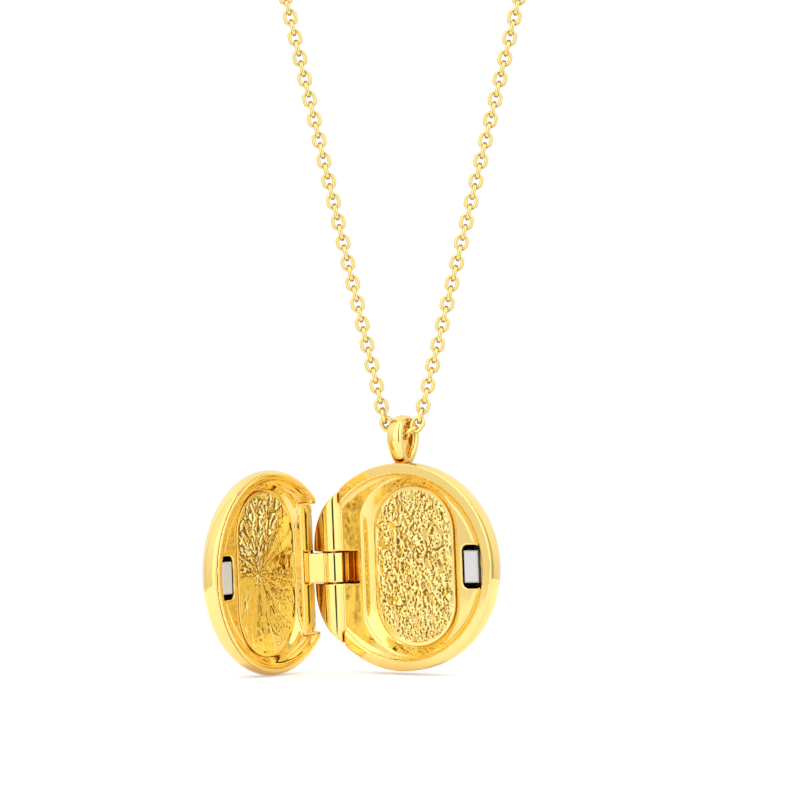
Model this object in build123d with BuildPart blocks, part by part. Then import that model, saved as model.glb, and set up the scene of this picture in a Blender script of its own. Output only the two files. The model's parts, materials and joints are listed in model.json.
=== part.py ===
"""Round locket pendant, standing open, on a fine cable chain with a trigger clasp.

Millimetres, +Z up. The origin is the middle of the bail's top, where the pendant hangs on
the chain. The chain hangs in the plane Y = 0 as a closed drop: a small bend through the bail,
two straight strands, and a wide bend round the neck with the clasp at its highest point.
"""
from build123d import *
from math import asin, cos, degrees, pi, radians, sin, sqrt, tan
import os

os.makedirs("parts", exist_ok=True)

# ---------------------------------------------------------------- driving dimensions
# How the locket hangs
yaw = 30.0              # the locket's face turned away from -Y, about the vertical
lean = 2.2              # tipped in the chain's plane by the weight of the open lid
opening = 94.5          # lid angle from closed, as it stands

# Locket halves: a round pebble split on its parting plane, the lid a little the flatter.
# Side -1 is the back and side +1 the lid.
outer_radius = {-1: 10.4, 1: 10.2}      # widest outline
widest_depth = {-1: 1.35, 1: 0.9}       # that outline, below the parting plane
corner_radius = {-1: 2.0, 1: 1.8}       # round of the side into the crown
crown_depth = {-1: 3.65, 1: 3.1}        # thickness of one half at its middle
recess_depth = {-1: 1.75, 1: 0.95}
recess_taper = {-1: 35.0, 1: 50.0}
corner_sweep = 74.0     # where the round meets the crown, from the widest outline
ledge_sweep = 10.0      # where it starts inside the shell
wall = 0.5

# Tray: the inner plate of each half
seat_radius = 9.5
seat_depth = 1.2
flange_depth = 0.22     # the tray's flange covers the shell's rim
fit_gap = 0.02
lip_radius = 9.35       # inside of the raised lip
land_radius = 8.45      # where the channel inside the lip reaches the flat land
land_depth = 0.45
channel_set = 0.22      # how far the channel's round stands off its corner
recess_width = 10.95
recess_height = 17.85
recess_shift = 0.72     # recess centre, towards the free edge
dish_skin = 0.42
dish_taper_share = 0.9  # the skin's slope, of the recess's slope
inlay_thickness = 0.15
inlay_gap = 0.06

# Magnet catch at the free edge
slot_reach = 7.85       # slot centre from the locket's centre
slot_width = 2.1
slot_height = 4.3
slot_corner = 0.6
slot_floor_depth = 1.8
cup_skin = 0.3
magnet_width = 1.6
magnet_height = 3.2
magnet_shift = 0.1      # towards the hinge, from the slot's centre
magnet_depth = 0.5      # how far the magnet's face lies below the parting plane
magnet_chamfer = 0.12

# Hinge
hinge_reach = 8.3       # axis from the locket's centre
hinge_depth = 1.1       # axis below the parting plane, in the back half
barrel_radius = 1.53
heel_reach = 2.05       # the barrel bulges this far from the axis on its outer side
knuckle_half = 1.5
pocket_half = 1.62
pocket_reach = 3.25
pocket_floor = -1.3     # above the axis
pocket_corner = 0.5     # the floor's corner, sloped
pocket_heel = -0.9      # floor outside the axis, where the arm passes
pin_radius = 0.4
bore_radius = 0.43
pin_half = 5.7
pin_chamfer = 0.08
step_reach = 1.5        # the lip stops here, measured from the axis
running_gap = 0.09
block_depth = 1.75      # solid metal round the pocket, below the axis
block_reach = 3.9
block_toe = 3.0         # its underside slopes up from here
block_side = 0.5        # and reaches its far side at this depth
block_half = 6.6
trough_half = 6.4       # half length of the lid's clearance for the barrel
trough_rise = 2.3       # its roof, above the axis
trough_reach = 2.6      # its far side
trough_bend = (2.35, 1.85)  # a point on the round between the two
trough_flat = 1.6       # the roof is flat from here to the lid's edge
lid_edge = 0.15         # the lid ends here, measured from the axis
lid_skin_edge = 1.1     # and here at its outer face
lid_skin_low = 2.7      # the step between the two slopes from this height
lid_skin_high = 3.8     # to this one
lid_end_half = 7.2
lid_block_rise = 3.1
arm_root = 1.43         # the arm's inner face leaves the knuckle here
arm_start = 3.35        # and meets the land here
arm_reach = 4.0
arm_top = 2.35
arm_crest = 1.0         # its back slopes down to the knuckle from here
margin = 1.0            # cutters run this far past the metal

# Bail: a rounded band bent into a drop-shaped loop
bail_height = 14.6      # middle of the bail's top above the locket's centre
bail_depth = 1.5        # behind the parting plane
bail_half_depth = 1.64
bail_foot = 10.4
bail_toe = 0.6          # bend radius at the foot
bail_limb = 3.6         # bend radius of the front and back limbs
bail_foot_half = 0.52   # half width at the foot
bail_flare_short = 0.1  # the foot's flare is this short of the full width
bail_flare_rise = 0.4   # at this height above the toe's centre
band_half_width = 0.86
band_half_thickness = 0.5

# Chain: oval links, alternately flat and edge-on to the front
pitch = 1.045           # inside length of one link
bend_pitch = 0.955      # the links crowd a little where the chain bends in the bail
wire = 0.34
link_width = 1.43
link_play = 0.02
bend_radius = 1.8       # centre line of the links passing through the bail
bend_rise = 0.43        # centre of that bend above the bail's middle
half_angle = 13.2       # each strand from the vertical
untwist = 3.4           # length over which the bend's turn to face the bail dies out
strand_links = 186      # links on each side, from the one in the bail to a jump ring
bend_links = 3
loop_ease = 0.54        # the half link in the bail, with a little slack, in pitches
chord_passes = 4        # rounds of fitting each link's chord to the curve
band_ends = (28, 60, 94)  # last link of each swinging length of chain

# Clasp and jump rings, at the highest point of the loop; x and y in the clasp's plane
clasp_thickness = 1.3
clasp_middle = (1.0, 0)
clasp_half_length = 3.2
clasp_half_width = 2.3
hook_middle = (1.35, 0)
hook_length = 3.4
hook_width = 2.3
mouth_middle = (1.125, -1.9)
mouth_length = 2.95
mouth_width = 2.0
eye_radius = 1.05
eye_bore = 0.55
lever_slot_middle = (-1.0, -1.5)
lever_slot_length = 2.1
lever_slot_width = 2.3
lever_slot_half = 0.4
ring_radius = 1.25      # centre line
ring_wire = 0.26
ring_play = 0.04
eye_x = -3.25
hook_x = 2.5            # where the end ring's wire lies in the hook
lever_x = -1.2
lever_y = -1.15
lever_radius = 0.52
lever_half = 0.36
lever_bore = 0.25
lever_tip = (2.2, -1.4)
lever_tip_radius = 0.3
thumb_x = -0.25         # the thumb piece, from the lever's pivot
thumb_y = -0.95
thumb_length = 1.5
thumb_width = 0.6
thumb_tilt = 70.0
clasp_pin_radius = 0.22
spring_x = -0.2         # the leaf spring, from the lever's pivot
spring_y = 0.68
spring_length = 1.1
spring_thickness = 0.14
spring_half = 0.3

# ---------------------------------------------------------------- frames
def turned(frame, x, y, z):
    """The frame turned by angles about its own axes."""
    return Plane(frame.location * Location((0, 0, 0), (x, y, z)))


def shifted(frame, x, y, z):
    """The frame moved by distances along its own axes."""
    return Plane(frame.location * Location((x, y, z)))


def section_of(frame, side=1):
    """The frame's cutting plane: x towards the free edge, y into the half on that side."""
    return turned(frame, 90 * side, 0, 0)


hang = turned(turned(Plane.XZ, 0, 0, lean), 0, -yaw, 0)
back_face = shifted(hang, 0, -bail_height, bail_depth)
hinge = shifted(back_face, -hinge_reach, 0, -hinge_depth)
lid_hinge = turned(hinge, 0, -opening, 0)
lid_face = shifted(lid_hinge, hinge_reach, 0, hinge_depth)


def write(builder, name):
    """Label a finished piece and write its file."""
    builder.part.label = name
    export_step(builder.part, f"parts/{name}.step")


# ---------------------------------------------------------------- locket halves
def pebble(face, side, lift=0.0):
    """Outer shape of one half; lift carries its widest outline straight on past the rim."""
    radius = corner_radius[side]
    dip = 0 if lift else degrees(asin(widest_depth[side] / radius))
    centre = (outer_radius[side] - radius, widest_depth[side])
    with BuildPart() as half:
        with BuildSketch(section_of(face, side)):
            with BuildLine():
                corner = CenterArc(centre, radius, -dip, dip + corner_sweep)
                crown = Spline(
                    corner @ 1, (0, crown_depth[side]), tangents=[corner % 1, (-1, 0)]
                )
                rim = corner @ 0
                Polyline(rim, (rim.X, -lift), (0, -lift), crown @ 1)
            make_face()
        revolve(axis=Axis(face.origin, face.z_dir))
    return half.part


def hollow(face, side):
    """Space inside a shell: the tray's seat, and the room behind it."""
    radius = corner_radius[side] - wall
    rim_radius = outer_radius[side]
    centre = (rim_radius - corner_radius[side], widest_depth[side])
    floor_depth = crown_depth[side] - wall
    with BuildPart() as space:
        with BuildSketch(section_of(face, side)):
            with BuildLine():
                corner = CenterArc(centre, radius, ledge_sweep, corner_sweep - ledge_sweep)
                crown = Spline(corner @ 1, (0, floor_depth), tangents=[corner % 1, (-1, 0)])
                ledge = (corner @ 0).Y
                Polyline(
                    corner @ 0,
                    (seat_radius, ledge),
                    (seat_radius, flange_depth),
                    (rim_radius, flange_depth),
                    (rim_radius, 0),
                    (0, 0),
                    crown @ 1,
                )
            make_face()
        revolve(axis=Axis(face.origin, face.z_dir))
    return space.part


def plate(face, side):
    """Plain tray of one half: lip, channel, land, tapered recess, and the magnet's cup."""
    centre = shifted(face, recess_shift, 0, 0)
    cup = shifted(face, slot_reach, 0, 0)
    tray_radius = seat_radius - fit_gap
    rim_radius = outer_radius[side]
    depth = recess_depth[side]
    taper = recess_taper[side]
    with BuildPart() as tray:
        with BuildSketch(section_of(face, side)):
            with BuildLine():
                channel = ThreePointArc(
                    (lip_radius, 0),
                    (lip_radius - channel_set, land_depth - channel_set / 2),
                    (land_radius, land_depth),
                )
                Polyline(
                    channel @ 1,
                    (0, land_depth),
                    (0, seat_depth),
                    (tray_radius, seat_depth),
                    (tray_radius, flange_depth - fit_gap),
                    (rim_radius, flange_depth - fit_gap),
                    (rim_radius, 0),
                    channel @ 0,
                )
            make_face()
        revolve(axis=Axis(face.origin, face.z_dir))
        with BuildSketch(shifted(centre, 0, 0, side * land_depth)):
            SlotOverall(recess_height + dish_skin, recess_width + dish_skin, rotation=90)
        extrude(amount=side * (depth + dish_skin - land_depth), taper=taper * dish_taper_share)
        cup_depth = slot_floor_depth + cup_skin
        with BuildSketch(shifted(cup, 0, 0, side * cup_depth)):
            RectangleRounded(
                slot_width + 2 * cup_skin, slot_height + 2 * cup_skin, slot_width / 2
            )
        extrude(amount=-side * (cup_depth - land_depth))
        with BuildSketch(shifted(centre, 0, 0, side * land_depth)):
            SlotOverall(recess_height, recess_width, rotation=90)
        extrude(amount=side * (depth - land_depth), taper=taper, mode=Mode.SUBTRACT)
        with BuildSketch(shifted(cup, 0, 0, side * slot_floor_depth)):
            RectangleRounded(slot_width, slot_height, slot_corner)
        extrude(amount=-side * slot_floor_depth, mode=Mode.SUBTRACT)
    return tray.part


def inlay(face, side):
    """Thin textured sheet lying on a recess's floor."""
    depth = recess_depth[side]
    shrink = 2 * ((depth - land_depth) * tan(radians(recess_taper[side])) + inlay_gap)
    with BuildPart() as sheet:
        with BuildSketch(shifted(face, recess_shift, 0, side * depth)):
            SlotOverall(recess_height - shrink, recess_width - shrink, rotation=90)
        extrude(amount=-side * inlay_thickness)
    return sheet


def magnet(face, side):
    """Small block magnet standing in its cup."""
    with BuildPart() as block:
        place = shifted(face, slot_reach - magnet_shift, 0, side * slot_floor_depth)
        with BuildSketch(place):
            Rectangle(magnet_width, magnet_height)
        extrude(amount=-side * (slot_floor_depth - magnet_depth))
        outer_face = block.faces().sort_by(Axis(face.origin, face.z_dir))[::side][0]
        chamfer(outer_face.edges(), magnet_chamfer)
    return block


# ---------------------------------------------------------------- hinge shapes
# Drawn across the hinge: x from the axis towards the free edge, y from the axis towards the
# lid's side. All of them run along the axis.
def bar(frame, points, half):
    """Prism along the hinge, from an outline drawn about the axis."""
    with BuildPart() as prism:
        with BuildSketch(section_of(frame)):
            with BuildLine():
                Polyline(*points, close=True)
            make_face()
        extrude(amount=half, both=True)
    return prism.part


def rod(frame, radius, half):
    """Cylinder on the hinge axis."""
    with BuildPart() as cylinder:
        with BuildSketch(section_of(frame)):
            Circle(radius)
        extrude(amount=half, both=True)
    return cylinder.part


far = 3.0               # clear of the hinge's metal on any side
land_rise = hinge_depth - land_depth
long_half = outer_radius[-1] + margin

step_cut = bar(
    hinge,
    [(-far, land_rise), (step_reach, land_rise), (step_reach, far), (-far, far)],
    long_half,
)
heel_cut = bar(hinge, [(-far, 0), (0, 0), (0, far), (-far, far)], long_half)
pocket_cut = bar(
    hinge,
    [(0, pocket_floor), (pocket_reach - pocket_corner, pocket_floor),
     (pocket_reach, pocket_floor + pocket_corner), (pocket_reach, far), (-far, far),
     (-far, pocket_heel), (pocket_heel, pocket_heel)],
    pocket_half,
)
knuckle_room = rod(hinge, barrel_radius + running_gap, pocket_half)
hinge_block = bar(
    hinge,
    [(0, -block_depth), (block_toe, -block_depth), (block_reach, -block_side),
     (block_reach, land_rise), (0, land_rise)],
    block_half,
)


def barrel_form(swell, half):
    """Round barrel with a fuller outer side; swell makes it larger all round."""
    radius = barrel_radius + swell
    heel = heel_reach + swell
    with BuildPart() as form:
        with BuildSketch(section_of(hinge)):
            Ellipse(heel, radius)
            with Locations((heel, 0)):
                Rectangle(2 * heel, 4 * radius, mode=Mode.SUBTRACT)
            Circle(radius)
        extrude(amount=half, both=True)
    return form.part


# Back half: the shell, cut down to let the barrel through
with BuildPart() as back_shell:
    add(pebble(back_face, -1))
    add(hollow(back_face, -1), mode=Mode.SUBTRACT)
    add(step_cut, mode=Mode.SUBTRACT)
    add(heel_cut, mode=Mode.SUBTRACT)
    add(barrel_form(fit_gap, long_half), mode=Mode.SUBTRACT)
    add(pocket_cut, mode=Mode.SUBTRACT)
    add(knuckle_room, mode=Mode.SUBTRACT)
write(back_shell, "back_shell")

# Back tray, with the barrel that carries the pin on both sides of the pocket
with BuildPart() as back_tray:
    add(plate(back_face, -1))
    add(step_cut, mode=Mode.SUBTRACT)
    add(hinge_block)
    add(heel_cut, mode=Mode.SUBTRACT)
    add(barrel_form(0, block_half + margin))
    add(pebble(back_face, -1, lift=barrel_radius - hinge_depth), mode=Mode.INTERSECT)
    add(back_shell.part, mode=Mode.SUBTRACT)
    add(pocket_cut, mode=Mode.SUBTRACT)
    add(knuckle_room, mode=Mode.SUBTRACT)
    add(rod(hinge, bore_radius, long_half), mode=Mode.SUBTRACT)
write(back_tray, "back_tray")

# ---------------------------------------------------------------- lid
# The same shapes about the hinge, turned with the lid; they clear the barrel at every angle.
lid_end_cut = bar(
    lid_hinge,
    [(-far, -far), (lid_edge, -far), (lid_edge, lid_skin_low),
     (lid_skin_edge, lid_skin_high), (lid_skin_edge, 2 * far), (-far, 2 * far)],
    lid_end_half,
)
barrel_room = rod(lid_hinge, barrel_radius + running_gap, long_half)

with BuildPart() as trough:
    with BuildSketch(section_of(lid_hinge)):
        with BuildLine():
            roof = ThreePointArc(
                (trough_reach, hinge_depth), trough_bend, (trough_flat, trough_rise)
            )
            Polyline(
                roof @ 1,
                (lid_edge - margin, trough_rise),
                (lid_edge - margin, 0),
                (trough_reach, 0),
                roof @ 0,
            )
        make_face()
    extrude(amount=trough_half, both=True)

arm_rise = hinge_depth + land_depth
with BuildPart() as arm:
    with BuildSketch(section_of(lid_hinge)):
        with BuildLine():
            Polyline(
                (0, 0),
                (arm_root, 0),
                (arm_start, arm_rise),
                (arm_reach, arm_rise),
                (arm_reach, arm_top),
                (arm_crest, arm_top),
                (0, barrel_radius),
                close=True,
            )
        make_face()
        Circle(barrel_radius)
    extrude(amount=knuckle_half, both=True)

lid_block = bar(
    lid_hinge,
    [(lid_edge, hinge_depth), (block_reach, hinge_depth), (block_reach, lid_block_rise),
     (lid_edge, lid_block_rise)],
    block_half,
)

with BuildPart() as lid_shell:
    add(pebble(lid_face, 1))
    add(hollow(lid_face, 1), mode=Mode.SUBTRACT)
    add(lid_end_cut, mode=Mode.SUBTRACT)
    add(trough.part, mode=Mode.SUBTRACT)
    add(barrel_room, mode=Mode.SUBTRACT)
    add(lid_shell.solids().sort_by(SortBy.VOLUME)[-1], mode=Mode.REPLACE)
write(lid_shell, "lid_shell")

# Lid tray, with the arm and the middle knuckle
with BuildPart() as lid_tray:
    add(plate(lid_face, 1))
    add(lid_block)
    add(pebble(lid_face, 1), mode=Mode.INTERSECT)
    add(lid_end_cut, mode=Mode.SUBTRACT)
    add(barrel_room, mode=Mode.SUBTRACT)
    add(trough.part, mode=Mode.SUBTRACT)
    add(lid_shell.part, mode=Mode.SUBTRACT)
    add(arm.part)
    add(rod(lid_hinge, bore_radius, knuckle_half + margin), mode=Mode.SUBTRACT)
write(lid_tray, "lid_tray")

write(inlay(back_face, -1), "back_inlay")
write(inlay(lid_face, 1), "lid_inlay")
write(magnet(back_face, -1), "back_magnet")
write(magnet(lid_face, 1), "lid_magnet")

with BuildPart() as hinge_pin:
    with BuildSketch(section_of(hinge)):
        Circle(pin_radius)
    extrude(amount=pin_half, both=True)
    chamfer(hinge_pin.edges().filter_by(GeomType.CIRCLE), pin_chamfer)
write(hinge_pin, "hinge_pin")

# ---------------------------------------------------------------- bail
# One closed loop of rounded band, square to the locket's face, soldered on the back's rim.
bail_frame = turned(shifted(back_face, 0, 0, -bail_depth), 0, 90, 0)
shoulder = bail_height - bail_half_depth
toe = bail_foot + bail_toe
crown_gap = bail_limb - bail_half_depth
toe_gap = bail_limb - bail_toe
limb_y = (toe_gap**2 - crown_gap**2 + shoulder**2 - toe**2) / (2 * (shoulder - toe))
limb_x = sqrt(crown_gap**2 - (shoulder - limb_y) ** 2)
crown_slope = degrees(asin((limb_y - shoulder) / crown_gap))
toe_slope = degrees(asin((limb_y - toe) / toe_gap))
limb_turn = toe_slope - crown_slope
with BuildPart() as bail:
    with BuildLine(bail_frame) as loop:
        crown = CenterArc((0, shoulder), bail_half_depth, -crown_slope, 180 + 2 * crown_slope)
        CenterArc((limb_x, limb_y), bail_limb, 180 + crown_slope, limb_turn)
        CenterArc((0, toe), bail_toe, 180 + toe_slope, 180 - 2 * toe_slope)
        CenterArc((-limb_x, limb_y), bail_limb, -toe_slope, limb_turn)
    with BuildSketch(Plane(origin=crown @ 0, x_dir=bail_frame.z_dir, z_dir=crown % 0)):
        Ellipse(band_half_width, band_half_thickness)
    sweep(path=loop.wires()[0])
    with BuildSketch(shifted(back_face, 0, 0, -bail_depth)):
        with BuildLine():
            right = ThreePointArc(
                (bail_foot_half, bail_foot - bail_toe),
                (band_half_width - bail_flare_short, toe + bail_flare_rise),
                (band_half_width, bail_height),
            )
            left = mirror(right, about=Plane.YZ)
            Line(left @ 0, right @ 0)
            Line(left @ 1, right @ 1)
        make_face()
        with Locations((0, bail_height)):
            Rectangle(2 * band_half_width, 2 * margin)
    extrude(amount=far, both=True, mode=Mode.INTERSECT)
    add(pebble(back_face, -1), mode=Mode.SUBTRACT)
write(bail, "bail")

# ---------------------------------------------------------------- chain
# Half of the loop's centre line: a bend in the bail, a straight strand, the neck's bend.
angle = radians(half_angle)
bend_turn = pi / 2 - angle
ring_inside = ring_radius - ring_wire / 2
clasp_span = hook_x - eye_x + 2 * ring_radius + 2 * ring_inside + 2 * ring_play
half_loop = (strand_links + loop_ease) * pitch + clasp_span / 2
neck_radius = (half_loop - bend_radius * bend_turn + bend_radius / tan(angle)) / (
    1 / tan(angle) + pi / 2 + angle
)
straight = (neck_radius - bend_radius) / tan(angle)
neck_centre = bend_rise + (neck_radius - bend_radius) / sin(angle)


def flat_point(distance):
    """Point (x, z) of the right half of the centre line, at a distance along it."""
    bend = bend_radius * bend_turn
    if distance < bend:
        turn = distance / bend_radius
        return bend_radius * sin(turn), bend_rise - bend_radius * cos(turn)
    if distance < bend + straight:
        along = distance - bend
        x = bend_radius * cos(angle) + along * sin(angle)
        return x, bend_rise - bend_radius * sin(angle) + along * cos(angle)
    turn = (distance - bend - straight) / neck_radius - angle
    return neck_radius * cos(turn), neck_centre + neck_radius * sin(turn)


def turn_at(distance):
    """Turn of the chain about the vertical: square to the bail in the bend, then none."""
    return radians(yaw) * max(0.0, 1 - distance / untwist)


def strand_point(distance):
    """Point of the right half of the centre line."""
    x, z = flat_point(distance)
    turn = turn_at(distance)
    return Vector(x * cos(turn), -x * sin(turn), z)


def contact_distances():
    """Distances at which the links of the right strand touch."""
    distances = [bend_radius * asin(bend_pitch / 2 / bend_radius)]
    for number in range(strand_links):
        distance = distances[-1]
        chord = bend_pitch if number < bend_links else pitch
        step = chord
        for _ in range(chord_passes):
            step *= chord / (strand_point(distance + step) - strand_point(distance)).length
        distances.append(distance + step)
    return distances


contacts = contact_distances()


def link_frame(number):
    """Frame of one link; number 0 hangs in the bail, negative numbers are on the left."""
    place = abs(number)
    end = strand_point(contacts[place])
    start = strand_point(contacts[place - 1]) if place else Vector(-end.X, -end.Y, end.Z)
    middle = (start + end) * 0.5
    along = (end - start).normalized()
    turn = turn_at(contacts[place - 1] if place else 0)
    front = Vector(-sin(turn), -cos(turn), 0)
    edge = along.cross(front).normalized()
    across = edge if number % 2 else edge.cross(along)
    if number < 0:
        middle = Vector(-middle.X, -middle.Y, middle.Z)
        along = Vector(-along.X, -along.Y, along.Z)
        across = Vector(-across.X, -across.Y, across.Z)
    return Plane(origin=middle, x_dir=along, z_dir=across)


with BuildPart() as link:
    half_width = (link_width - wire) / 2
    flank = (pitch + link_play + wire) / 2 - half_width
    with BuildSketch(Plane.YZ):
        with Locations((half_width, 0), (-half_width, 0)):
            Circle(wire / 2)
    extrude(amount=flank, both=True)
    with BuildSketch(Plane.YZ.offset(flank)):
        with Locations((-half_width, 0)):
            Circle(wire / 2)
    revolve(axis=Axis((flank, 0, 0), (0, 0, 1)), revolution_arc=180)
    mirror(about=Plane.YZ)


def length_of_chain(name, numbers):
    """A run of separate links."""
    with BuildPart() as run:
        with Locations(*[link_frame(number) for number in numbers]):
            add(link.part)
    write(run, name)


length_of_chain("chain_bend", range(-bend_links, bend_links + 1))
first = bend_links + 1
for band, last in zip(("lower", "middle", "upper", "neck"), (*band_ends, strand_links)):
    length_of_chain(f"chain_{band}_right", range(first, last + 1))
    length_of_chain(f"chain_{band}_left", range(-last, -first + 1))
    first = last + 1

# ---------------------------------------------------------------- clasp
# A trigger clasp lies level at the top of the loop; a jump ring joins each end of the chain.
left_end = strand_point(contacts[strand_links])
clasp_x = -left_end.X + ring_inside + ring_play + ring_radius - eye_x
clasp_plane = Plane(origin=(clasp_x, 0, left_end.Z), x_dir=(1, 0, 0), z_dir=(0, -1, 0))


def jump_ring(name, x):
    """Round wire ring lying level, its centre at x along the clasp."""
    centre = shifted(clasp_plane, x, 0, 0)
    with BuildPart() as ring:
        with BuildSketch(shifted(centre, ring_radius, 0, 0)):
            Circle(ring_wire / 2)
        revolve(axis=Axis(centre.origin, centre.y_dir))
    write(ring, name)


jump_ring("clasp_ring", eye_x - ring_radius)
jump_ring("end_ring", hook_x + ring_radius)

with BuildPart() as clasp_body:
    with BuildSketch(clasp_plane):
        with Locations(clasp_middle):
            Ellipse(clasp_half_length, clasp_half_width)
        with Locations((eye_x, 0)):
            Circle(eye_radius)
        make_hull()
        with Locations(hook_middle):
            SlotOverall(hook_length, hook_width, mode=Mode.SUBTRACT)
        with Locations((eye_x, 0)):
            Circle(eye_bore, mode=Mode.SUBTRACT)
        with Locations(mouth_middle):
            Rectangle(mouth_length, mouth_width, mode=Mode.SUBTRACT)
    extrude(amount=clasp_thickness / 2, both=True)
    with BuildSketch(clasp_plane):
        with Locations(lever_slot_middle):
            Rectangle(lever_slot_length, lever_slot_width)
    extrude(amount=lever_slot_half, both=True, mode=Mode.SUBTRACT)
    with BuildSketch(clasp_plane):
        with Locations((lever_x, lever_y)):
            Circle(clasp_pin_radius)
    extrude(amount=clasp_thickness, both=True, mode=Mode.SUBTRACT)
write(clasp_body, "clasp_body")

with BuildPart() as clasp_lever:
    with BuildSketch(clasp_plane):
        with Locations((lever_x, lever_y)):
            Circle(lever_radius)
        with Locations(lever_tip):
            Circle(lever_tip_radius)
        make_hull()
        with Locations((lever_x + thumb_x, lever_y + thumb_y)):
            SlotOverall(thumb_length, thumb_width, rotation=thumb_tilt)
    extrude(amount=lever_half, both=True)
    with BuildSketch(clasp_plane):
        with Locations((lever_x, lever_y)):
            Circle(lever_bore)
    extrude(amount=clasp_thickness, both=True, mode=Mode.SUBTRACT)
write(clasp_lever, "clasp_lever")

with BuildPart() as clasp_pin:
    with BuildSketch(clasp_plane):
        with Locations((lever_x, lever_y)):
            Circle(clasp_pin_radius)
    extrude(amount=clasp_thickness / 2, both=True)
write(clasp_pin, "clasp_pin")

with BuildPart() as clasp_spring:
    with BuildSketch(clasp_plane):
        with Locations((lever_x + spring_x, lever_y + spring_y)):
            RectangleRounded(spring_length, spring_thickness, spring_thickness / 3)
    extrude(amount=spring_half, both=True)
write(clasp_spring, "clasp_spring")
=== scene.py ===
import json
import math

import bmesh
import bpy
import numpy as np
from mathutils import Matrix, Vector, kdtree

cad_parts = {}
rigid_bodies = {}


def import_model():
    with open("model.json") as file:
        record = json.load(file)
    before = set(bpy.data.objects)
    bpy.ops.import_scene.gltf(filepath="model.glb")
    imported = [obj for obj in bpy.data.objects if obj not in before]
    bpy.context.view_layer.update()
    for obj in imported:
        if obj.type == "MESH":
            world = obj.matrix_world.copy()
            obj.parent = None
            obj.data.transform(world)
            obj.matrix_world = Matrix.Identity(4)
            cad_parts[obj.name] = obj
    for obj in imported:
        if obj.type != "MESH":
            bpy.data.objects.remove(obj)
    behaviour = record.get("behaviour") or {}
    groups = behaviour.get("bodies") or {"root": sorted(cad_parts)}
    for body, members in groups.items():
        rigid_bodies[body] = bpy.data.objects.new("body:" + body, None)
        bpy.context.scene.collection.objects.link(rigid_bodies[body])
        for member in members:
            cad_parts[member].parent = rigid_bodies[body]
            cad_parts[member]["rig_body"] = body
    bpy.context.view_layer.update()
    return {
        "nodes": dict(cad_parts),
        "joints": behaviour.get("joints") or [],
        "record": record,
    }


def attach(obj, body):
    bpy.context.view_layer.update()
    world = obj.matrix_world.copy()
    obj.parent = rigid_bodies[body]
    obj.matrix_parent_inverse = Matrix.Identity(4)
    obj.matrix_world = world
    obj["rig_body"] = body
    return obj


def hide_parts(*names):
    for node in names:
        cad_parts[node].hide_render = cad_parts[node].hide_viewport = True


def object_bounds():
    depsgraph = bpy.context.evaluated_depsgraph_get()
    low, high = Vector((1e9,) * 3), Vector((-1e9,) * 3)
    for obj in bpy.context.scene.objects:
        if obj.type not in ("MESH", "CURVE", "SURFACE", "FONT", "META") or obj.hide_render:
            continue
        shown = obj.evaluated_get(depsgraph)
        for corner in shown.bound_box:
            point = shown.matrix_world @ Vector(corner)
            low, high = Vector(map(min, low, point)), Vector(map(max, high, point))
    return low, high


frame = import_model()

# Looks of a round locket pendant, hanging open on its cable chain. Metres, in the frame's axes.
MM = 0.001
record = frame["record"]
mounts = {mount["name"]: mount for mount in record["mounts"]}
joints = {joint["name"]: joint for joint in frame["joints"]}
up_axis = -Vector(joints["lid_hinge"]["axis"])

GOLD = (1.0, 0.745, 0.26)
FOIL = (1.0, 0.80, 0.31)
# painted shade: the colour laid into the foil's folds and hollows, where shade falls
FOLD_SHADE_COLOUR = (0.22, 0.11, 0.02)
STEEL = (0.66, 0.66, 0.66)
HOLLOW_SHADE = (0.74, 0.44, 0.10)
TROUGH_SHADE = (0.72, 0.47, 0.13)
SLOT_SHADE = (0.012, 0.009, 0.006)


# ---------------------------------------------------------------- materials
EDGE_SHADE = (0.30, 0.22, 0.07)
EDGE_START = 0.15           # share of turning away at which the darkening starts
EDGE_FULL = 0.80
HOLLOW_REACH = 1.6 * MM     # how near other metal has to be to shade a hollow
HOLLOW_GAIN = 1.9
CLOUD_SCALE = 315.0         # noise cells per metre for the tone
FINE_SCALE = 3600.0         # noise cells per metre for the roughness and the relief
CLOUD_LOW = 0.3
CLOUD_HIGH = 0.7
TONE = 0.05
RELIEF_HEIGHT = 0.02 * MM
MAGNET_METALLIC = 0.35
MIX_FACTOR = 0              # sockets of a colour mix node
MIX_FIRST = 6
MIX_SECOND = 7
MIX_RESULT = 2


def node_of(tree, kind, **values):
    """A shader node with some of its properties and inputs set."""
    node = tree.nodes.new(kind)
    for key, value in values.items():
        if key in node.inputs:
            node.inputs[key].default_value = value
        else:
            setattr(node, key, value)
    return node


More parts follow.
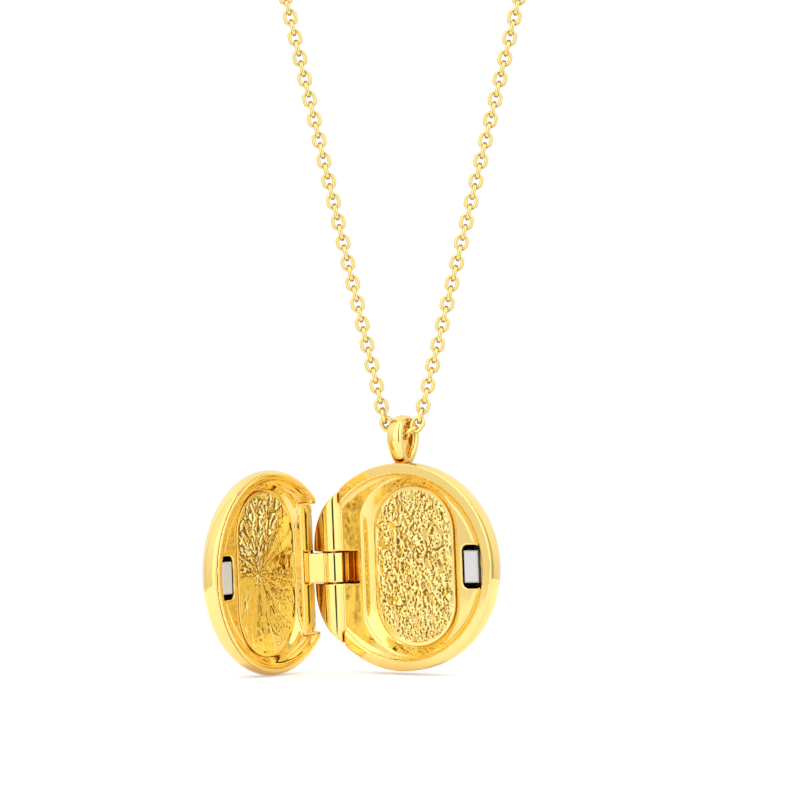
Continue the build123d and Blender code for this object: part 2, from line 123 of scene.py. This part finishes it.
def metal(name, colour, roughness, spread, bump=0.02):
    """Metal whose colour, roughness and surface vary a little, as polishing leaves it."""
    made = bpy.data.materials.new(name)
    made.use_nodes = True
    tree = made.node_tree
    shader = tree.nodes["Principled BSDF"]
    shader.inputs["Metallic"].default_value = 1.0
    place = node_of(tree, "ShaderNodeTexCoord")
    cloud = node_of(tree, "ShaderNodeTexNoise", Scale=CLOUD_SCALE, Detail=3.0)
    fine = node_of(tree, "ShaderNodeTexNoise", Scale=FINE_SCALE, Detail=4.0)
    tree.links.new(place.outputs["Object"], cloud.inputs["Vector"])
    tree.links.new(place.outputs["Object"], fine.inputs["Vector"])

    rough = node_of(tree, "ShaderNodeMapRange")
    rough.inputs["To Min"].default_value = max(0.0, roughness - spread)
    rough.inputs["To Max"].default_value = roughness + spread
    tree.links.new(fine.outputs["Fac"], rough.inputs["Value"])
    tree.links.new(rough.outputs["Result"], shader.inputs["Roughness"])

    ramp = node_of(tree, "ShaderNodeValToRGB")
    ramp.color_ramp.elements[0].position = CLOUD_LOW
    ramp.color_ramp.elements[1].position = CLOUD_HIGH
    ramp.color_ramp.elements[0].color = (*[c * (1 - TONE) for c in colour], 1)
    ramp.color_ramp.elements[1].color = (*colour, 1)
    tree.links.new(cloud.outputs["Fac"], ramp.inputs["Fac"])
    tree.links.new(ramp.outputs["Color"], shader.inputs["Base Color"])

    relief = node_of(tree, "ShaderNodeBump", Strength=bump, Distance=RELIEF_HEIGHT)
    tree.links.new(fine.outputs["Fac"], relief.inputs["Height"])
    tree.links.new(relief.outputs["Normal"], shader.inputs["Normal"])
    return made


def feed_of(material, name):
    """The shader's input of this name, and the socket feeding it now."""
    target = material.node_tree.nodes["Principled BSDF"].inputs[name]
    return target, target.links[0].from_socket


def shaded_by(material, factor, colour):
    """Lay a darker colour over the material where the factor is high."""
    tree = material.node_tree
    target, before = feed_of(material, "Base Color")
    mix = node_of(tree, "ShaderNodeMix", data_type="RGBA")
    mix.inputs[MIX_SECOND].default_value = (*colour, 1)
    tree.links.new(factor, mix.inputs[MIX_FACTOR])
    tree.links.new(before, mix.inputs[MIX_FIRST])
    tree.links.new(mix.outputs[MIX_RESULT], target)


def edge_darkened(material):
    """Darken the metal where it turns away from the viewer."""
    tree = material.node_tree
    facing = node_of(tree, "ShaderNodeLayerWeight", Blend=0.5)
    share = node_of(tree, "ShaderNodeMapRange", clamp=True)
    share.inputs["From Min"].default_value = EDGE_START
    share.inputs["From Max"].default_value = EDGE_FULL
    tree.links.new(facing.outputs["Facing"], share.inputs["Value"])
    shaded_by(material, share.outputs["Result"], EDGE_SHADE)


def shaded_in_hollows(material):
    """Deepen the colour where metal faces other metal close by."""
    tree = material.node_tree
    shut = node_of(tree, "ShaderNodeAmbientOcclusion", samples=6, Distance=HOLLOW_REACH)
    share = node_of(tree, "ShaderNodeMapRange", clamp=True)
    share.inputs["From Min"].default_value = 1.0
    share.inputs["From Max"].default_value = 1.0 - 1.0 / HOLLOW_GAIN
    tree.links.new(shut.outputs["AO"], share.inputs["Value"])
    shaded_by(material, share.outputs["Result"], HOLLOW_SHADE)


def marked(material, name, colour):
    """Darken the metal where its points carry this mark."""
    kept = node_of(material.node_tree, "ShaderNodeAttribute", attribute_name=name)
    shaded_by(material, kept.outputs["Fac"], colour)


polished = metal("gold_polished", GOLD, roughness=0.045, spread=0.02)
tray_metal = metal("gold_tray", GOLD, roughness=0.08, spread=0.02)
satin = metal("gold_satin", GOLD, roughness=0.34, spread=0.04)
crinkled = metal("gold_foil", FOIL, roughness=0.13, spread=0.05, bump=0.05)
chain_metal = metal("gold_chain", GOLD, roughness=0.06, spread=0.03)
magnet_metal = metal("magnet_plating", STEEL, roughness=0.3, spread=0.02, bump=0.01)
spring_metal = metal("spring_steel", STEEL, roughness=0.22, spread=0.05)
# painted shade darkens the foil's folds, by the mark that each sheet carries
marked(crinkled, "painted_fold_shade", FOLD_SHADE_COLOUR)
for material in (polished, tray_metal):
    shaded_in_hollows(material)
marked(tray_metal, "trough", TROUGH_SHADE)
marked(tray_metal, "slot", SLOT_SHADE)
edge_darkened(chain_metal)
plating = magnet_metal.node_tree.nodes["Principled BSDF"]
plating.inputs["Metallic"].default_value = MAGNET_METALLIC


def paint(piece, material):
    """Give a piece its only material and the slot that it fills."""
    piece.data.materials.clear()
    piece.data.materials.append(material)


# ---------------------------------------------------------------- frames in the locket
class Seat:
    """Axes of one half's floor: side runs towards the free edge, up along the hinge."""

    def __init__(self, mount, away_from_hinge):
        self.centre = Vector(mount["pos_m"])
        self.normal = Vector(mount["axis"]).normalized()
        self.side = up_axis.cross(self.normal).normalized()
        self.up = self.normal.cross(self.side).normalized()
        if self.side.dot(away_from_hinge) < 0:
            self.side = -self.side

    def axes(self):
        """Side, up and normal as the rows of a matrix."""
        return np.array([self.side, self.up, self.normal])

    def spread_of(self, node):
        """Lowest and highest corner of a CAD node along these axes, from the centre."""
        points = vertices_of(frame["nodes"][node].data)
        local = (points - np.array(self.centre)) @ self.axes().T
        return local.min(0), local.max(0)

    def world(self, local):
        """Points along these axes, brought into the frame's axes."""
        return np.asarray(local) @ self.axes() + np.array(self.centre)


def vertices_of(mesh):
    """Positions of a mesh's points, one row each."""
    points = np.zeros(len(mesh.vertices) * 3, np.float32)
    mesh.vertices.foreach_get("co", points)
    return points.reshape(-1, 3).astype(float)


def seat_at(name):
    """Axes of the floor that carries this mount."""
    mount = mounts[name]
    return Seat(mount, Vector(mount["pos_m"]) - hinge_point)


hinge_point = Vector(joints["lid_hinge"]["pos_m"])
back_seat = seat_at("back_photo_seat")
lid_seat = seat_at("lid_photo_seat")


def new_piece(name, points, faces, smooth=True):
    """An object made of these points and faces, put in the scene."""
    mesh = bpy.data.meshes.new(name)
    mesh.from_pydata([tuple(p) for p in points], [], faces)
    mesh.update()
    if smooth:
        mesh.polygons.foreach_set("use_smooth", [True] * len(mesh.polygons))
    piece = bpy.data.objects.new(name, mesh)
    bpy.context.scene.collection.objects.link(piece)
    return piece


# ---------------------------------------------------------------- chain
WELD_STEPS = 1e7        # per metre, for finding points that coincide
LINK_STEPS = 44
WIRE_STEPS = 16
BROAD = 1.12            # the flattened wire, as a share of the round wire
THICK = 1.2
SQUARENESS = 3.2        # 2 is a round section, higher is squarer


def separate_forms(node):
    """Vertices of each separate solid in a CAD node."""
    mesh = frame["nodes"][node].data
    points = vertices_of(mesh)
    mesh.calc_loop_triangles()
    corners = np.zeros(len(mesh.loop_triangles) * 3, np.int32)
    mesh.loop_triangles.foreach_get("vertices", corners)
    snapped = np.round(points * WELD_STEPS).astype(np.int64)
    _, welded = np.unique(snapped, axis=0, return_inverse=True)
    welded = welded.ravel()
    corners = welded[corners].reshape(-1, 3)
    count = welded.max() + 1
    label = np.arange(count)
    while True:
        lowest = label[corners].min(axis=1)
        spread = label.copy()
        np.minimum.at(spread, corners.ravel(), np.repeat(lowest, 3))
        spread = spread[spread]
        if np.array_equal(spread, label):
            break
        label = spread
    unique_points = np.zeros((count, 3))
    unique_points[welded] = points
    return [unique_points[label == one] for one in np.unique(label)]


def link_sections(length, width, wire):
    """Rings of points of one link, lying flat: x along the link, z across its face."""
    broad = wire * BROAD
    thick = wire * THICK
    radius = (width - broad) / 2
    flank = (length - wire) / 2 - radius
    angles = np.linspace(0, 2 * math.pi, LINK_STEPS, endpoint=False)
    turns = np.linspace(0, 2 * math.pi, WIRE_STEPS, endpoint=False)
    flat = 2 / SQUARENESS
    out = np.sign(np.cos(turns)) * np.abs(np.cos(turns)) ** flat
    across = np.sign(np.sin(turns)) * np.abs(np.sin(turns)) ** flat
    rings = []
    for angle in angles:
        direction = np.array([math.cos(angle), math.sin(angle), 0])
        centre = direction * radius + np.array([math.copysign(flank, math.cos(angle)), 0, 0])
        end_share = math.cos(angle) ** 2
        half = (broad + (wire - broad) * end_share) / 2
        ring = centre + np.outer(out * half, direction)
        ring[:, 2] += across * thick / 2
        rings.append(ring)
    return np.array(rings)


def grid_faces(around, section, start):
    """Faces of a closed band of rings."""
    faces = []
    for i in range(around):
        for k in range(section):
            a = start + i * section + k
            b = start + i * section + (k + 1) % section
            c = start + ((i + 1) % around) * section + (k + 1) % section
            d = start + ((i + 1) % around) * section + k
            faces.append((a, b, c, d))
    return faces


def chain_length(node, order_axis):
    """Flat-faced links in place of one length of the CAD chain."""
    forms = separate_forms(node)
    forms.sort(key=lambda points: points[:, order_axis].mean())
    centres = [(points.min(0) + points.max(0)) / 2 for points in forms]
    points, faces = [], []
    for number, form in enumerate(forms):
        before = centres[max(number - 1, 0)]
        after = centres[min(number + 1, len(forms) - 1)]
        spread = form - centres[number]
        normal = np.linalg.eigh(spread.T @ spread)[1][:, 0]
        along = after - before
        along = along - normal * (along @ normal)
        along /= np.linalg.norm(along)
        axes = np.array([along, np.cross(normal, along), normal])
        size = np.ptp(spread @ axes.T, axis=0)
        rings = link_sections(*size)
        faces += grid_faces(LINK_STEPS, WIRE_STEPS, len(points) * LINK_STEPS * WIRE_STEPS)
        points.append(rings.reshape(-1, 3) @ axes + centres[number])
    piece = new_piece(f"{node}_links", np.concatenate(points), faces)
    paint(piece, chain_metal)
    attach(piece, frame["nodes"][node]["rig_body"])
    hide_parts(node)


for node in sorted(frame["nodes"]):
    if node.startswith("chain_"):
        chain_length(node, 0 if node == "chain_bend" else 2)


# ---------------------------------------------------------------- softened metal
WELD = 1e-4                 # mm
SMOOTH_FACTOR = 0.5
RECESS_ROUNDS = 40
RECESS_SHIFT = 0.72 * MM    # recess centre from the locket's, towards the free edge
LAND_RADIUS = 8.1 * MM
BAND_INSIDE = 0.35 * MM     # the softened band, to either side of the inlay's outline
BAND_OUTSIDE = 1.15 * MM
BAND_BELOW = 0.35 * MM
BAND_TO_SLOT = 0.55 * MM
SLOT_TOP = 0.06 * MM        # the slot's dark starts this far under the magnet's face
SLOT_FADE = 0.12 * MM
SLOT_MARGIN = 0.75 * MM
TROUGH_REACH = 3.3 * MM     # from the hinge's axis
TROUGH_RIM = -1.25 * MM     # below the lid's parting plane, seen from the axis
TROUGH_START = 1.75 * MM    # clear of the arm, along the hinge


def modified(piece):
    """The piece's mesh with its modifiers applied; they are then taken off."""
    shown = piece.evaluated_get(bpy.context.evaluated_depsgraph_get())
    finished = bpy.data.meshes.new_from_object(shown)
    piece.modifiers.clear()
    return finished


def smoothing(piece, name, rounds):
    """A smoothing modifier of so many rounds."""
    smooth = piece.modifiers.new(name, "SMOOTH")
    smooth.factor = SMOOTH_FACTOR
    smooth.iterations = rounds
    return smooth


def softened(node, material, voxel, rounds, seat=None):
    """The CAD form with its edges rounded over; a tray's recess is rounded further.

    The voxel's size is in mm. A seat is given for a tray.
    """
    mesh = frame["nodes"][node].data.copy()
    mesh.transform(Matrix.Scale(1 / MM, 4))
    form = bmesh.new()
    form.from_mesh(mesh)
    bmesh.ops.remove_doubles(form, verts=form.verts, dist=WELD)
    form.to_mesh(mesh)
    form.free()
    piece = bpy.data.objects.new(f"{node}_form", mesh)
    bpy.context.scene.collection.objects.link(piece)
    even = piece.modifiers.new("even", "REMESH")
    even.mode = "VOXEL"
    even.voxel_size = voxel
    smoothing(piece, "round", rounds)
    finished = modified(piece)
    if seat:
        piece.data = finished
        mark_recess(piece, node, seat)
        smoothing(piece, "blend", RECESS_ROUNDS).vertex_group = "recess"
        finished = modified(piece)
        piece.vertex_groups.clear()
    finished.transform(Matrix.Scale(MM, 4))
    if seat:
        mark(finished, "slot", slot_share(finished, node, seat))
        mark(finished, "trough", trough_share(finished, node, seat))
    piece.data = finished
    finished.name = piece.name
    finished.polygons.foreach_set("use_smooth", [True] * len(finished.polygons))
    paint(piece, material)
    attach(piece, frame["nodes"][node]["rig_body"])
    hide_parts(node)


def mark(mesh, name, values):
    """Keep a value on every point of a mesh, for its material."""
    kept = mesh.attributes.new(name, "FLOAT", "POINT")
    kept.data.foreach_set("value", np.asarray(values, np.float32))


def slot_share(mesh, node, seat):
    """1 for a tray's points down in the magnet's slot, 0 on the land."""
    low, high = seat.spread_of(node.replace("tray", "magnet"))
    local = (vertices_of(mesh) - np.array(seat.centre)) @ seat.axes().T
    beyond = np.maximum(low[:2] - local[:, :2], local[:, :2] - high[:2]).max(axis=1)
    sunk = np.clip((high[2] - SLOT_TOP - local[:, 2]) / SLOT_FADE, 0, 1)
    return np.where(beyond < SLOT_MARGIN, sunk, 0.0)


def trough_share(mesh, node, seat):
    """1 for the lid tray's points in the hollow that clears the barrel, 0 elsewhere."""
    if node != "lid_tray":
        return np.zeros(len(mesh.vertices))
    local = (vertices_of(mesh) - np.array(hinge_point)) @ seat.axes().T
    inside = np.hypot(local[:, 0], local[:, 2]) < TROUGH_REACH
    inside &= local[:, 2] < TROUGH_RIM
    inside &= np.abs(local[:, 1]) > TROUGH_START
    return np.where(inside, 1.0, 0.0)


def mark_recess(piece, node, seat):
    """Mark the band round a recess's rim and wall, inside the land and off the magnet's slot."""
    low, high = seat.spread_of(node.replace("tray", "inlay"))
    middle = (low + high) / 2
    half = (high - low) / 2
    local = (vertices_of(piece.data) * MM - np.array(seat.centre)) @ seat.axes().T - middle
    straight = half[1] - half[0]
    past = np.maximum(np.abs(local[:, 1]) - straight, 0)
    outside = np.hypot(local[:, 0], past) - half[0]
    near = (outside > -BAND_INSIDE) & (outside < BAND_OUTSIDE) & (local[:, 2] > -BAND_BELOW)
    near &= np.hypot(local[:, 0] + RECESS_SHIFT, local[:, 1]) < LAND_RADIUS
    slot_low, _ = seat.spread_of(node.replace("tray", "magnet"))
    near &= local[:, 0] < slot_low[0] - middle[0] - BAND_TO_SLOT
    group = piece.vertex_groups.new(name="recess")
    group.add([int(number) for number in np.flatnonzero(near)], 1.0, "REPLACE")


for node in ("back_shell", "lid_shell"):
    softened(node, polished, voxel=0.1, rounds=8)
for node, seat in (("back_tray", back_seat), ("lid_tray", lid_seat)):
    softened(node, tray_metal, voxel=0.085, rounds=9, seat=seat)
softened("bail", polished, voxel=0.06, rounds=5)
for node in ("clasp_body", "clasp_lever"):
    softened(node, satin, voxel=0.06, rounds=5)


# ---------------------------------------------------------------- inlays
SHEET_ACROSS = 130
SHEET_ALONG = 280
ROUND_TRIM = 0.995          # keeps the end rows off the very tips
EVEN_TRIM = 0.9995
BUNCHED = 0.6               # how far the rows crowd towards the round ends
EDGE_FLAT = 0.25 * MM       # flat border of a sheet, and the fade inside it
EDGE_FADE = 0.3 * MM
PIT_START = 0.007 * MM      # depth below the surroundings at which a fold starts to take painted shade
PIT_FADE = 0.022 * MM
SHEET_SHARE = 0.8           # of the CAD inlay's thickness
HOLLOW_ROUNDS = 10


def facets(places, tilts, local):
    """Height of a crumpled sheet: a small tilted facet round each place."""
    tree = kdtree.KDTree(len(places))
    for number, place in enumerate(places):
        tree.insert((*place, 0), number)
    tree.balance()
    nearest = np.array([tree.find((x, y, 0))[1] for x, y in local])
    return ((local - places[nearest]) * tilts[nearest]).sum(axis=1)


def stadium_grid(half_width, half_height):
    """Points filling a round-ended sheet, their faces, and each point's depth inside its edge."""
    across = SHEET_ACROSS
    straight = half_height - half_width
    crowded = half_height * np.sin(np.linspace(-0.5, 0.5, SHEET_ALONG) * math.pi * ROUND_TRIM)
    even = np.linspace(-half_height, half_height, SHEET_ALONG)
    ys = BUNCHED * crowded + (1 - BUNCHED) * even * EVEN_TRIM
    past = np.maximum(np.abs(ys) - straight, 0)
    widths = np.sqrt(np.maximum(half_width**2 - past**2, 0))
    xs = np.linspace(-1, 1, across)
    local = np.array([(x * w, y) for y, w in zip(ys, widths) for x in xs])
    end = np.maximum(np.abs(local[:, 1]) - straight, 0)
    depth = half_width - np.hypot(local[:, 0], end)
    faces = [
        (r * across + c, r * across + c + 1, (r + 1) * across + c + 1, (r + 1) * across + c)
        for r in range(SHEET_ALONG - 1)
        for c in range(across - 1)
    ]
    return local, faces, depth


def smoothed_rows(height, rounds):
    """Height averaged with its four neighbours on the grid, its own share a third."""
    field = height.reshape(-1, SHEET_ACROSS)
    for _ in range(rounds):
        padded = np.pad(field, 1, mode="edge")
        field = (
            padded[1:-1, 1:-1] * 2 + padded[:-2, 1:-1] + padded[2:, 1:-1]
            + padded[1:-1, :-2] + padded[1:-1, 2:]
        ) / 6
    return field.ravel()


def sheet(node, seat, relief):
    """A textured sheet on a recess's floor, standing for a plain CAD inlay."""
    low, high = seat.spread_of(node)
    middle = (low + high) / 2
    half = (high - low) / 2
    local, faces, depth = stadium_grid(half[0], half[1])
    fade = np.clip((depth - EDGE_FLAT) / EDGE_FADE, 0, 1)
    fade = fade * fade * (3 - 2 * fade)
    height, fold_shade_gain = relief(local)
    height = smoothed_rows(height * fade, 1)
    hollow = smoothed_rows(height, HOLLOW_ROUNDS) - height
    points = np.column_stack([local + middle[:2], np.full(len(local), high[2]) + height])
    if seat.side.cross(seat.up).dot(seat.normal) < 0:
        faces = [face[::-1] for face in faces]
    piece = new_piece(f"{node}_sheet", seat.world(points), faces)
    # painted shade in the folds: points lying deeper than their surroundings get the dark colour
    mark(piece.data, "painted_fold_shade", np.clip((hollow * fold_shade_gain - PIT_START) / PIT_FADE, 0, 1))
    thick = piece.modifiers.new("thickness", "SOLIDIFY")
    thick.thickness = (high[2] - low[2]) * SHEET_SHARE
    thick.offset = -1
    paint(piece, crinkled)
    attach(piece, frame["nodes"][node]["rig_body"])
    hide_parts(node)


def crumple(local, seed, size, steepness, stretch):
    """Small random facets over a sheet, of a size in mm; stretch draws them out along it."""
    draw = np.random.default_rng(seed)
    low, high = local.min(0), local.max(0)
    count = int(np.prod(high - low) / (size * MM)**2 / stretch)
    places = draw.uniform(low, high, (count, 2))
    tilts = draw.normal(0, steepness, (count, 2))
    squeeze = np.array([1, 1 / stretch])
    return facets(places * squeeze, tilts, local * squeeze)


def hammered(local):
    """Fine crinkled foil, its grain running up the sheet; and how strongly its folds are darkened
    with painted shade.
    """
    height = crumple(local, seed=3, size=0.26, steepness=0.42, stretch=2.0)
    height += crumple(local, seed=5, size=0.80, steepness=0.18, stretch=1.6)
    height += crumple(local, seed=8, size=0.16, steepness=0.50, stretch=1.6)
    return height, 1.0


FOCUS_SIDE = 1.3 * MM       # where the folds meet, from the sheet's middle
FOCUS_UP = 0.1 * MM
RAYS = 60
RAY_SEED = 11
RAY_SLOPE = 0.015
RAY_REACH = 3.5 * MM        # the folds stop deepening here
POLAR_RADIUS = 3.0 * MM     # a streak's width is measured on this circle
QUARTER_LEAN = (0.9, 0.8)   # direction in which the rough quarter lies
QUARTER_START = 0.3
QUARTER_FADE = 2.0 * MM
ABOVE_START = 0.6
ABOVE_FADE = 0.6 * MM
CORE_PEAK = 1.5             # roughness where the folds meet
CORE_RADIUS = 1.1 * MM
CORE_SHARE = 0.8
CORNER_START = 2.2 * MM     # speckled corner, on the hinge side and below
CORNER_FADE = 1.0 * MM
CORNER_SHARE = 0.4
FAINTEST = 0.05             # share of the streaks outside the rough quarter
DARKER = 3.0                # how much more painted shade the rough quarter's folds get


def sunburst(local):
    """Folds fanning out from a point beside the middle, sharp and with deeper painted shade in
    one quarter.
    """
    draw = np.random.default_rng(RAY_SEED)
    offset = local - np.array([FOCUS_SIDE, FOCUS_UP])
    aside = offset[:, 0]
    above = offset[:, 1]
    reach = np.hypot(aside, above)
    angle = np.arctan2(above, aside)
    rays = np.sort(draw.uniform(-math.pi, math.pi, RAYS))
    levels = draw.uniform(-1, 1, len(rays))
    fold = np.interp(angle, rays, levels, period=2 * math.pi)
    fan = fold * np.minimum(reach, RAY_REACH) * RAY_SLOPE

    polar = np.column_stack([angle * POLAR_RADIUS, reach])
    streaks = crumple(polar, seed=21, size=0.18, steepness=0.62, stretch=3.4)
    streaks += crumple(polar, seed=22, size=0.40, steepness=0.32, stretch=3.0)
    lean = aside * QUARTER_LEAN[0] + above * QUARTER_LEAN[1]
    quarter = np.clip(lean / QUARTER_FADE + QUARTER_START, 0, 1)
    quarter *= np.clip(above / ABOVE_FADE + ABOVE_START, 0, 1)
    core = np.clip(CORE_PEAK - reach / CORE_RADIUS, 0, 1)
    rough = np.maximum(np.maximum(quarter, core * CORE_SHARE), FAINTEST)

    specks = crumple(local, seed=24, size=0.22, steepness=0.5, stretch=1.5)
    corner = np.clip((-aside - CORNER_START) / CORNER_FADE, 0, 1) * (above < 0)
    gentle = crumple(local, seed=23, size=0.6, steepness=0.03, stretch=2.0)
    height = fan + streaks * rough + specks * corner * CORNER_SHARE + gentle
    return height, 1.0 + DARKER * quarter


sheet("back_inlay", back_seat, hammered)
sheet("lid_inlay", lid_seat, sunburst)

# ---------------------------------------------------------------- CAD pieces shown as they are
for node, material, slot in (
    ("hinge_pin", polished, "gold"),
    ("back_magnet", magnet_metal, "magnet"),
    ("lid_magnet", magnet_metal, "magnet"),
    ("clasp_ring", polished, "gold"),
    ("end_ring", polished, "gold"),
    ("clasp_pin", spring_metal, "spring_steel"),
    ("clasp_spring", spring_metal, "spring_steel"),
):
    paint(frame["nodes"][node], material)

# ---------------------------------------------------------------- floor
# A small table top, so that upright metal mirrors the studio beyond it.
FLOOR_GAP = 0.05 * MM
FLOOR_HALF = 60 * MM
FLOOR_COLOUR = (0.76, 0.79, 0.85, 1)
FLOOR_GLOW = 0.3
WHITE = (1, 1, 1, 1)


def pale_floor():
    """Matt white, lit a little from within so that it meets the background evenly."""
    made = bpy.data.materials.new("pale_floor")
    made.use_nodes = True
    tree = made.node_tree
    tree.nodes.clear()
    out = node_of(tree, "ShaderNodeOutputMaterial")
    both = node_of(tree, "ShaderNodeAddShader")
    matt = node_of(tree, "ShaderNodeBsdfDiffuse", Color=FLOOR_COLOUR)
    glow = node_of(tree, "ShaderNodeEmission", Color=WHITE, Strength=FLOOR_GLOW)
    tree.links.new(matt.outputs[0], both.inputs[0])
    tree.links.new(glow.outputs[0], both.inputs[1])
    tree.links.new(both.outputs[0], out.inputs["Surface"])
    return made


def table_top():
    """A square just under the lowest point of the object."""
    lowest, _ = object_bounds()
    level = lowest.z - FLOOR_GAP
    turns = ((-1, -1), (1, -1), (1, 1), (-1, 1))
    corners = [(x * FLOOR_HALF, y * FLOOR_HALF, level) for x, y in turns]
    floor = new_piece("floor", corners, [(0, 1, 2, 3)], smooth=False)
    floor.data.materials.append(pale_floor())


table_top()


# ---------------------------------------------------------------- light
# Brightness by direction: degrees round from the camera's side, and level. From the last stop
# it goes back to the first one's level at 180 degrees.
LIGHT_STOPS = (
    (-180, 0.86), (-150, 1.02), (-120, 1.05), (-114, 0.70), (-108, 1.0), (-54, 0.98),
    (-50, 1.45), (-3, 1.45), (-1, 0.01), (9, 0.01), (11, 1.45), (64, 1.45), (68, 0.50),
    (78, 0.60), (84, 0.98), (120, 1.0), (150, 1.0),
)
RISE_HALF = 0.5             # brightness grows over this much of the way down and up
LOW_LIGHT = 0.75
HIGH_LIGHT = 1.15
BACKDROP = 1.05             # brightness that the camera sees behind the object


def studio():
    """White tent round the object: brightness by direction, with a dark gap by the camera."""
    world = bpy.data.worlds.new("studio")
    bpy.context.scene.world = world
    world.use_nodes = True
    tree = world.node_tree
    tree.nodes.clear()
    out = node_of(tree, "ShaderNodeOutputWorld")
    light = node_of(tree, "ShaderNodeBackground")
    seen = node_of(tree, "ShaderNodeBackground", Color=WHITE, Strength=BACKDROP)
    mix = node_of(tree, "ShaderNodeMixShader")
    path = node_of(tree, "ShaderNodeLightPath")
    place = node_of(tree, "ShaderNodeTexCoord")
    split = node_of(tree, "ShaderNodeSeparateXYZ")
    forward = node_of(tree, "ShaderNodeMath", operation="MULTIPLY")
    forward.inputs[1].default_value = -1.0
    turn = node_of(tree, "ShaderNodeMath", operation="ARCTAN2")
    share = node_of(tree, "ShaderNodeMapRange")
    share.inputs["From Min"].default_value = -math.pi
    share.inputs["From Max"].default_value = math.pi
    ramp = node_of(tree, "ShaderNodeValToRGB")
    strip = ramp.color_ramp
    behind = LIGHT_STOPS[0][1]
    strip.elements[0].color = (behind, behind, behind, 1)
    strip.elements[1].color = (behind, behind, behind, 1)
    for degrees, level in LIGHT_STOPS[1:]:
        element = strip.elements.new(degrees / 360 + 0.5)
        element.color = (level, level, level, 1)
    rise = node_of(tree, "ShaderNodeMapRange")
    rise.inputs["From Min"].default_value = -RISE_HALF
    rise.inputs["From Max"].default_value = RISE_HALF
    rise.inputs["To Min"].default_value = LOW_LIGHT
    rise.inputs["To Max"].default_value = HIGH_LIGHT
    tree.links.new(place.outputs["Generated"], split.inputs[0])
    tree.links.new(split.outputs["Y"], forward.inputs[0])
    tree.links.new(split.outputs["X"], turn.inputs[0])
    tree.links.new(forward.outputs[0], turn.inputs[1])
    tree.links.new(turn.outputs[0], share.inputs["Value"])
    tree.links.new(share.outputs["Result"], ramp.inputs["Fac"])
    tree.links.new(split.outputs["Z"], rise.inputs["Value"])
    tree.links.new(ramp.outputs["Color"], light.inputs["Color"])
    tree.links.new(rise.outputs["Result"], light.inputs["Strength"])
    tree.links.new(path.outputs["Is Camera Ray"], mix.inputs["Fac"])
    tree.links.new(light.outputs[0], mix.inputs[1])
    tree.links.new(seen.outputs[0], mix.inputs[2])
    tree.links.new(mix.outputs[0], out.inputs["Surface"])


studio()
bpy.context.scene.view_settings.view_transform = "Standard"

# ---------------------------------------------------------------- camera
DISTANCE = 0.9
ELEVATION = math.radians(2.3)
VIEW_WIDTH = 80 * MM
SENSOR = 36.0
AIM_RIGHT = 6.59 * MM       # the picture's middle, from the hinge
AIM_UP = 16.715 * MM
CLIP_START = 0.01
CLIP_END = 50


def photo_camera():
    """A long lens just above the object's level."""
    data = bpy.data.cameras.new("camera")
    data.sensor_width = SENSOR
    data.lens = SENSOR * DISTANCE / VIEW_WIDTH
    data.clip_start = CLIP_START
    data.clip_end = CLIP_END
    camera = bpy.data.objects.new("camera", data)
    bpy.context.scene.collection.objects.link(camera)
    target = Vector((hinge_point.x + AIM_RIGHT, hinge_point.y, hinge_point.z + AIM_UP))
    away = Vector((0, -math.cos(ELEVATION), math.sin(ELEVATION)))
    camera.location = target + away * DISTANCE
    camera.rotation_mode = "QUATERNION"
    camera.rotation_quaternion = (-away).to_track_quat("-Z", "Y")
    bpy.context.scene.camera = camera


photo_camera()
